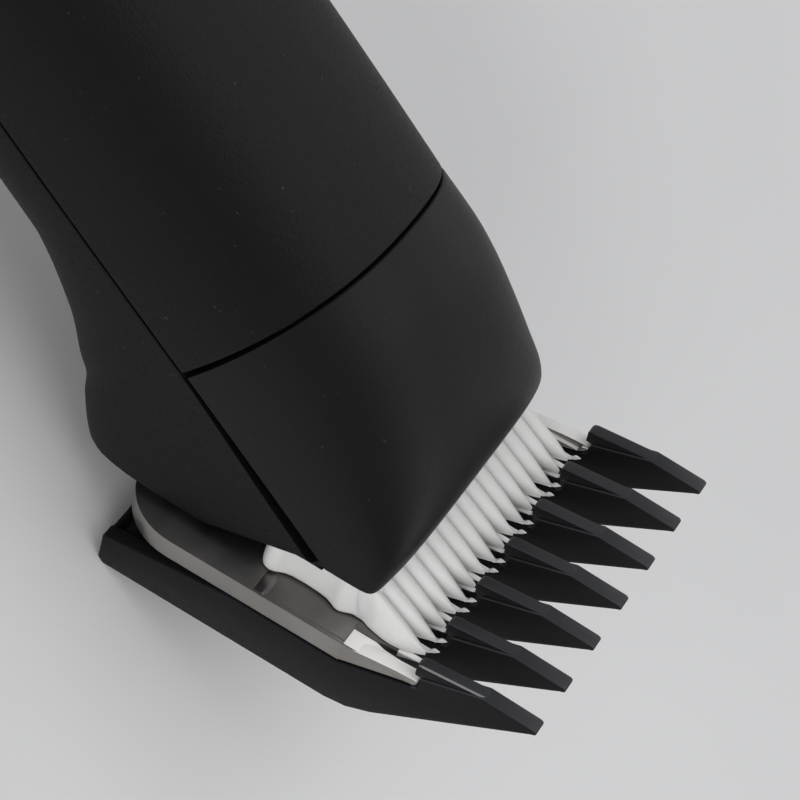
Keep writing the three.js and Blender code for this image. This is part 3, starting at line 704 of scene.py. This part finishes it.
# The heel's floor over the blade, with the hinge's pocket and the latch's slot in it.
LATCH_SLOT_HALF = 5.8
POCKET_REAR, POCKET_FRONT = -51.9, -38
POCKET_INNER, POCKET_OUTER = 11.5, 12.9
POCKET_TOP = 9.5
rim_share = np.linspace(0.02, 0.5, 90)
rim_points = carry(BODY_TO_BLADE, lower_half.at(heel_end(rim_share), rim_share))
near_side = [(x + 0.7, y + 0.8) for x, y, _ in rim_points if x < HEEL_FLAT + 0.8 and y < -1]
heel_outline = near_side + [(x, -y) for x, y in near_side[::-1]]
heel_floor = piece("heel_floor", [prism(heel_outline, HEEL_FLOOR + 0.03, HEEL_FLOOR + WALL, "z")],
                   BLADE, shell_black, "housing")
cut(heel_floor, [block(-52, -20, -POCKET_INNER, POCKET_INNER, 0, POCKET_TOP),
                 block(-90, -50, -LATCH_SLOT_HALF, LATCH_SLOT_HALF, 0, POCKET_TOP)], BLADE)
pocket = [block(POCKET_REAR, POCKET_FRONT, -POCKET_OUTER, POCKET_OUTER, POCKET_TOP, 11)]
for side in (-1, 1):
    pocket.append(block(POCKET_REAR, POCKET_FRONT, *sided(side, POCKET_INNER, POCKET_OUTER),
                        HEEL_FLOOR + 0.1, POCKET_TOP))
piece("hinge_pocket", pocket, BLADE, shell_black, "housing")


# ---------------------------------------------------------------- tail cap


TAIL_SIDES = 128
INLET_RADIUS = 4.8
INLET_FLOOR = -134.2
TAIL_WALL = 2.2
TURNS = np.linspace(0, 2 * np.pi, TAIL_SIDES, endpoint=False)


def tail_ring(x, inset=SKIN):
    """One ring of the tail cap, in the body frame."""
    shrink = float(tail_shrink(x))
    half = float(along(HALF_WIDTH, x)) * shrink - inset
    ring = []
    for turn in TURNS:
        c, s = math.cos(turn), math.sin(turn)
        high = float(along(TOP_HEIGHT if s > 0 else BELLY_DEPTH, x)) * shrink - inset
        ring.append((x, half * math.copysign(abs(c) ** (2 / SQUARENESS), c),
                     high * math.copysign(abs(s) ** (2 / SQUARENESS), s)))
    return ring


def inlet_ring(x, radius):
    """Circle round the charging inlet's axis."""
    return [(x, radius * math.cos(turn), 1 + radius * math.sin(turn)) for turn in TURNS]


def tail_cap():
    """Closed rings: the joint's edge, the outside, the inlet and back along the inside."""
    front = TAIL_JOINT - GAP
    end = TAIL_END + 0.01
    rings = [tail_ring(front - 0.3 * a, SKIN + 0.3 * d) for a, d in ARC]
    rings += [tail_ring(x) for x in (-125.5, -126.6, -127.6, -128.6, -129.6, -130.6, -131.5, -132.3, -133, -133.6,
                                     -134.15, -134.6, -134.95, -135.25, -135.5, -135.7, -135.85, -135.95, end)]
    for turn in (90, 60, 30, 0):
        c, s = math.cos(math.radians(turn)), math.sin(math.radians(turn))
        rings.append(inlet_ring(end + 0.35 * (1 - c), INLET_RADIUS + 0.35 * s))
    rings.append(inlet_ring(INLET_FLOOR, INLET_RADIUS))
    rings.append([(x, 0.9 * y, 0.9 * z) for x, y, z in tail_ring(INLET_FLOOR)])
    rings += [tail_ring(x, TAIL_WALL) for x in (-132, -130.5, -129, -127.5, -126, front)]
    points = np.array([p for ring in rings for p in ring], float)
    faces = grid_faces(len(rings), TAIL_SIDES, closed=True)
    last = (len(rings) - 1) * TAIL_SIDES
    for i in range(TAIL_SIDES):
        k = (i + 1) % TAIL_SIDES
        faces.append((last + i, last + k, k, i))
    return points, faces


piece("tail_cap_skin", [tail_cap()], BODY, shell_black, "housing", ["tail_cap"])

# ---------------------------------------------------------------- comb guard

COMB_PITCH = 7.7
COMB_TEETH = 7
COMB_REAR = -43
COMB_BOTTOM = -8
COMB_TIP = 16.4
COMB_HALF = (COMB_TEETH - 1) / 2 * COMB_PITCH
SPINE_HALF = COMB_HALF + 0.6
FIN_HALF = 1.1             # half thickness of a tooth
RAIL_HALF = 0.85           # half thickness of the rail on a tooth
RAIL_RISE = 0.119          # slope of the rails' tops
BEVEL_START = -9.4         # rear end of the blade's ground underside
ramp_slope = math.tan(math.radians(33.8))


def under(x):
    """Underside of a comb tooth in front."""
    return 6.9 - (COMB_TIP - 0.6 - x) * ramp_slope


comb_side = [(COMB_REAR, COMB_BOTTOM + 0.8), (COMB_REAR + 0.8, COMB_BOTTOM), (-9.6, COMB_BOTTOM),
             (-6.6, COMB_BOTTOM + 0.5), (-3.4, under(-3.4)), (COMB_TIP - 0.6, 6.9), (COMB_TIP, 7.2),
             (COMB_TIP, 7.7), (COMB_TIP - 0.4, 7.9), (9, 8.2), (1.05, 5.15), (1.05, 3.22), (0.2, 2.95),
             (BEVEL_START - 0.1, -0.4), (-25, -0.4), (COMB_REAR + 1, -2.7), (COMB_REAR, -2.9)]
rail_side = [(1.5, 4.5), (11, 7.6), (11, 8), (9, 8.22), (0.6, 7.2), (0.15, 6.95), (0, 6.6), (0.1, 5.1),
             (1.5, 4.95)]
fins = []
rails = []
for i in range(COMB_TEETH):
    y = i * COMB_PITCH - COMB_HALF
    fins.append(prism(comb_side, y - FIN_HALF, y + FIN_HALF))
    rails.append(prism(rail_side, y - RAIL_HALF, y + RAIL_HALF))
comb = piece("comb_teeth", fins + rails + [
    block(COMB_REAR + 0.6, -12, -SPINE_HALF, SPINE_HALF, -4.6, -3),
    block(COMB_REAR + 0.2, COMB_REAR + 2, -SPINE_HALF, SPINE_HALF, COMB_BOTTOM + 0.6, -3)],
    BLADE, comb_charcoal, "comb", ["comb_guard"])
bevel(comb, 0.22, 3)
comb.data.materials.append(comb_wear_and_highlight)
comb.data.materials.append(comb_painted_light)
blade_up = Vector(BLADE[:3, 2])
to_blade = np.linalg.inv(BLADE)
# Painted light: the rails' -Y edges and the faces that look up get a paler copy of the comb's plastic, lit as by
# the light from above; the nearest tooth's edge is worn and carries a painted highlight as well.
for face in comb.data.polygons:
    x, y, z = local_centre(comb, face, to_blade)
    across = (y + COMB_HALF + COMB_PITCH / 2) % COMB_PITCH - COMB_PITCH / 2
    along_rim = -0.86 < across < -0.66 and 0.2 < x < 9.5
    # Rim faces: a painted highlight along the rails' edges, with real wear as well on the nearest tooth.
    if along_rim and abs(z - 7.2 - RAIL_RISE * (x - 0.6)) < 0.22:
        face.material_index = 1 if y < -COMB_HALF else 2
    # Faces that look up in front get the paler copy: painted light from above.
    elif face.normal.dot(blade_up) > 0.55 and x > -0.5:
        face.material_index = 2

# ---------------------------------------------------------------- lower blade

BLADE_HALF = 24.1
BLADE_REAR = -43.3
BLADE_CORNER = 9
BLADE_THICK = 3
BLADE_PITCH = 1.925
SLOTS = 23
LUG_INNER = 22.38          # |y| of a lug's inner side
LUG_REAR = -8.5
TOOTH_STATIONS = [BEVEL_START, -7.5, -6.2, -5, -3.5, -2, -0.8, -0.4, -0.2, 0, 0.2, 0.4, 0.55, 0.7, 0.8]


def blade_plan(front):
    """Outline of the blade behind its teeth, with round rear corners."""
    outline = [(front, -BLADE_HALF), (front, BLADE_HALF)]
    for side, order in ((1, 1), (-1, -1)):
        turns = [k / 12 * math.pi / 2 for k in range(13)][::order]
        outline += [(BLADE_REAR + BLADE_CORNER * (1 - math.sin(t)),
                     side * (BLADE_HALF - BLADE_CORNER * (1 - math.cos(t)))) for t in turns]
    return outline


def blade_lower(x):
    """Underside of the lower blade."""
    return float(np.interp(x, [BEVEL_START, 0.3, 0.8], [0, 3.4, 3.9]))


def tooth_top(x):
    """Top of the lower blade's teeth: level under the cutter, raised in front of its tips."""
    return float(np.interp(x, [-0.4, -0.1, 0.3, 0.8], [3.2, 3.85, 4.05, 4.0]))


def slot_half(x):
    """Half width of the slot between two teeth."""
    return 0.0 if x < -6.1 else float(np.interp(x, [-6, -0.4, 0.8], [0.3, 0.6, 0.87]))


def tooth_ring(x, y0, y1, low, high, radius=0.12):
    """Section of a tooth at x: a rectangle with its corners cut."""
    r = min(radius, (high - low) * 0.45, (y1 - y0) * 0.45)
    return [(x, y0 + r, low), (x, y1 - r, low), (x, y1, low + r), (x, y1, high - r),
            (x, y1 - r, high), (x, y0 + r, high), (x, y0, high - r), (x, y0, low + r)]


def toothed(sides_at):
    """Tooth between the two y values that sides_at(x) gives."""
    return loft([tooth_ring(x, *sides_at(x), blade_lower(x), tooth_top(x)) for x in TOOTH_STATIONS])


def inner_tooth(middle):
    return toothed(lambda x: (middle - BLADE_PITCH / 2 + slot_half(x),
                              middle + BLADE_PITCH / 2 - slot_half(x)))


def outer_tooth(side):
    outer_slot = (SLOTS - 1) / 2 * BLADE_PITCH
    return toothed(lambda x: sided(side, outer_slot + slot_half(x), BLADE_HALF - 0.02))


steel_parts = [prism(blade_plan(BEVEL_START), 0, BLADE_THICK, "z")]
for i in range(SLOTS - 1):
    steel_parts.append(inner_tooth((i - (SLOTS - 2) / 2) * BLADE_PITCH))
lug_side = [(LUG_REAR, 2.9), (0.3, 3.3), (0.62, 3.6), (0.79, 3.9), (0.72, 4.12), (0.5, 4.25), (-2, 4.05),
            (-5.2, 3.58), (LUG_REAR, BLADE_THICK)]
for side in (-1, 1):
    steel_parts.append(outer_tooth(side))
    steel_parts.append(prism(lug_side, *sided(side, LUG_INNER, BLADE_HALF)))
lower_blade = piece("lower_blade_steel", steel_parts, BLADE, ground_steel, "blade_set", ["lower_blade"])
bevel(lower_blade, 0.1)
lower_blade.data.materials.append(blade_top)
lower_blade.data.materials.append(lug_painted_glint)
# Dark machined steel on top; the lugs' top facets and the teeth are painted near white, a painted reflection of
# the light on ground steel.
for face in lower_blade.data.polygons:
    x, y, z = local_centre(lower_blade, face, to_blade)
    if face.normal.dot(blade_up) > 0.8:
        on_lug = abs(y) > LUG_INNER - 0.18 and x > LUG_REAR - 0.1 and z > BLADE_THICK - 0.01
        # The lugs' tops get the painted reflection.
        face.material_index = 2 if on_lug else 1
    # The teeth in front are painted near white too: a painted reflection.
    if x > -3.6 and abs(y) < 21.5:
        face.material_index = 2

# Low ridges in front of, behind and outside the hollow at each side of the blade's top.
RIDGE_FOOT = BLADE_THICK - 0.1
ridges = []
for side in (-1, 1):
    for x0, x1, x2, height in ((-9.6, -8.9, -8.4, 0.16), (-22.4, -21.2, -20.6, 0.22)):
        ridges.append(prism([(x0, RIDGE_FOOT), (x2, RIDGE_FOOT), (x2, BLADE_THICK), (x1, BLADE_THICK + height),
                             (x0, BLADE_THICK)], *sided(side, 20.2, BLADE_HALF - 0.25)))
    lip = [(23.3, RIDGE_FOOT), (23.95, RIDGE_FOOT), (23.95, BLADE_THICK), (23.7, 3.14), (23.3, BLADE_THICK)]
    ridges.append(loft([[(x, side * y, z) for y, z in lip] for x in (-20.9, -9.2)]))
blade_ridges = piece("lower_blade_ridges", ridges, BLADE, blade_top, "blade_set")
bevel(blade_ridges, 0.08)

# ---------------------------------------------------------------- cutter

CUTTER_BASE = 3.35
CUTTER_PITCH = 2.57
CUTTER_TEETH = 16
CUTTER_REAR = -24
CUTTER_FRONT = -9.6        # front of the block that carries the teeth

# Outer side of the cutter in plan: (x, y) from the rear lobe to the first tooth.
cutter_edge = [(-24.1, 18.3), (-23.95, 18.9), (-23.7, 19.5), (-23.3, 20.05), (-22.8, 20.35), (-22.2, 20.45),
               (-21.6, 20.3), (-21, 20.0), (-20.4, 19.7), (-19.4, 19.5), (-17.5, 19.45), (-15.6, 19.55),
               (-14.3, 19.75), (-13.5, 20.1), (-12.9, 20.4), (-12.3, 20.45), (-11.6, 20.2), (-10.8, 19.85),
               (-9.9, 19.65), (-9.2, 19.62), (-8.4, 19.8), (-7.6, 20), (-6.8, 20.15), (-6, 20.15),
               (-5.2, 20), (-4.6, 19.7)]

# A tooth from its root to its tip: (x, half width, top, half width of the outermost flank).
cutter_tooth = [(-11, 2.2, 9.15, 0.35), (-9.4, 2.2, 9.15, 0.36), (-8.9, 2.2, 9.0, 0.5), (-8.3, 2.15, 8.68, 0.8),
                (-7.2, 2.05, 8.0, 1.08), (-6, 1.85, 7.27, 1.32), (-4.8, 1.58, 6.53, 1.42),
                (-3.7, 1.27, 5.85, 1.32), (-2.8, 0.97, 5.3, 1.06), (-2, 0.69, 4.82, 0.76), (-1.4, 0.46, 4.45, 0.5),
                (-1, 0.3, 4.2, 0.32), (-0.75, 0.18, 4.05, 0.18), (-0.55, 0.06, 3.92, 0.06)]


def cutter_crown(x):
    """Height of the cutter's ends, which follow the heel."""
    return float(np.interp(x, [-24.1, -23.4, -19, -12.8, -9.2, -4.6], [6.9, 7.5, 9.1, 9.2, 9.0, 5.2]))


def cutter_end(side):
    """One wavy end of the cutter."""
    rings = []
    for x, y in cutter_edge:
        top = cutter_crown(x)
        inner = 12.8 if x < -9.1 else 18.6
        ring = [(inner, CUTTER_BASE), (y - 0.25, CUTTER_BASE), (y - 0.06, CUTTER_BASE + 0.15),
                (y, CUTTER_BASE + 0.5), (y - 0.12, CUTTER_BASE + 1.6), (y - 0.3, top - 2), (y - 0.38, top - 1.1),
                (y - 0.55, top - 0.55), (y - 0.85, top - 0.2), (y - 1.08, top), (inner, top)]
        rings.append([(x, side * across, z) for across, z in ring])
    return loft(rings)


def half_cone(x, y, left, right, top):
    """Ring of a tooth: flat below, a half ellipse above, with its own half width on each side."""
    foot = CUTTER_BASE + 0.35
    ring = []
    for t in np.linspace(0, math.pi, 22):
        half = right if math.cos(t) > 0 else left
        ring.append((x, y + half * math.cos(t), foot + (top - foot) * math.sin(t) ** 0.9))
    return [(x, y + right * 0.96, CUTTER_BASE)] + ring + [(x, y - left * 0.96, CUTTER_BASE)]


cutter_parts = [cutter_end(-1), cutter_end(1)]
for i in range(CUTTER_TEETH):
    y = (i - (CUTTER_TEETH - 1) / 2) * CUTTER_PITCH
    rings = []
    for x, half, top, outer in cutter_tooth:
        rings.append(half_cone(x, y, outer if i == 0 else half, outer if i == CUTTER_TEETH - 1 else half, top))
    cutter_parts.append(loft(rings))
cutter_parts.append(prism([(CUTTER_REAR, CUTTER_BASE), (CUTTER_FRONT, CUTTER_BASE), (CUTTER_FRONT, 8.6),
                           (-13, 8.6), (-13, 7.2), (CUTTER_REAR, 7.2)], -18, 18))
piece("cutter_ceramic", cutter_parts, BLADE, ceramic, "cutter", ["cutter_blade"], 50)

# ---------------------------------------------------------------- power slider

KNOB_REAR, KNOB_FRONT = -83.5, -74.5
KNOB_HALF = 3.4
SWITCH_TRAVEL = 4.5
LENS_PLACE = (-62, 0)
knob_side = [(KNOB_REAR, 19), (KNOB_FRONT, 19), (KNOB_FRONT, 22.8), (-75.2, 23.8), (-77.5, 23.4), (-80.5, 23.4),
             (-82.8, 23.8), (KNOB_REAR, 22.8)]
slider = piece("power_slider_knob", [prism(knob_side, -KNOB_HALF, KNOB_HALF),
                                     block(-88, -71, -5.5, 5.5, 17.2, 19.2)],
               BODY, grey_plastic, "switch", ["power_slider"])
bevel(slider, 0.3, 3)
cut(upper_shell, [block(KNOB_REAR - 1, KNOB_FRONT + SWITCH_TRAVEL + 0.5, -4, 4, 10, 40),
                  rod(LENS_PLACE, 1.9, 10, 40)], BODY)

# ---------------------------------------------------------------- camera, light and stage

# The camera in the blade frame: its place in mm and its turns about X, Y and Z in degrees.
CAMERA_PLACE = (47.04, -236.02, 290.6)
CAMERA_TURNS = (40.6185, -12.1856, 29.4505)

camera_data = bpy.data.cameras.new("camera")
camera_data.lens = 135
camera_data.sensor_width = 36
camera_data.clip_start = 0.01
camera = bpy.data.objects.new("camera", camera_data)
bpy.context.scene.collection.objects.link(camera)
placed = np.eye(4)
placed[:3, :3] = BLADE[:3, :3] @ np.array(Euler([math.radians(turn) for turn in CAMERA_TURNS]).to_matrix())
placed[:3, 3] = carry(BLADE, CAMERA_PLACE) * MM
camera.matrix_world = Matrix(placed.tolist())
bpy.context.scene.camera = camera


def floor_material():
    m = Nodes("pale_floor")
    m.set(Base_Color=m.mix(m.noise(9, 4), (0.6, 0.6, 0.605), (0.68, 0.68, 0.68)),
          Roughness=m.ramp(m.noise(30), 0.7, 0.85))
    return m.material


FLOOR_HALF = 3             # half width of the floor in m
floor_mesh = bpy.data.meshes.new("floor")
floor_mesh.from_pydata([(x, y, 0) for x, y in ((-FLOOR_HALF, -FLOOR_HALF), (FLOOR_HALF, -FLOOR_HALF),
                                               (FLOOR_HALF, FLOOR_HALF), (-FLOOR_HALF, FLOOR_HALF))],
                       [], [(0, 1, 2, 3)])
floor = bpy.data.objects.new("floor", floor_mesh)
floor_mesh.materials.append(floor_material())
bpy.context.scene.collection.objects.link(floor)


def softbox(name, place, aim, size, power):
    """Rectangular light at place, turned to aim: its two sides in m and its power in W."""
    light = bpy.data.lights.new(name, "AREA")
    light.shape = "RECTANGLE"
    light.size, light.size_y = size
    light.energy = power
    lamp = bpy.data.objects.new(name, light)
    lamp.location = place
    lamp.rotation_mode = "QUATERNION"
    lamp.rotation_quaternion = (Vector(aim) - Vector(place)).to_track_quat("-Z", "Y")
    bpy.context.scene.collection.objects.link(lamp)
    return lamp


HEAD = (0.06, 0, 0.03)     # about the middle of the cap
softbox("over", (0.05, -0.02, 1.1), HEAD, (1.3, 1.3), 6.1)
softbox("table_fill", (-0.1, -0.9, 0.36), (0.0, -0.04, 0), (0.9, 0.5), 6.5).visible_glossy = False
softbox("crown", (0.1, 0.8, 0.5), HEAD, (0.9, 0.35), 1.2)
softbox("toe", (0.85, 0.1, 0.4), HEAD, (0.4, 0.3), 0.8)

# Room light: dim on the camera's side, bright behind the clipper and in front of its teeth.
world = bpy.data.worlds.new("studio")
bpy.context.scene.world = world
world.use_nodes = True
tree = world.node_tree
direction = tree.nodes.new("ShaderNodeTexCoord")
split = tree.nodes.new("ShaderNodeVectorMath")
split.operation = "DOT_PRODUCT"
split.inputs[1].default_value = (0.35, 0.75, 0.55)
tree.links.new(direction.outputs["Generated"], split.inputs[0])
shade = tree.nodes.new("ShaderNodeMapRange")
shade.inputs["From Min"].default_value = -0.7
shade.inputs["From Max"].default_value = 0.9
shade.inputs["To Min"].default_value = 0.15
shade.inputs["To Max"].default_value = 0.42
tree.links.new(split.outputs["Value"], shade.inputs["Value"])
background = tree.nodes["Background"]
background.inputs["Color"].default_value = (0.96, 0.97, 1, 1)
tree.links.new(shade.outputs["Result"], background.inputs["Strength"])
bpy.context.scene.view_settings.view_transform = "Standard"
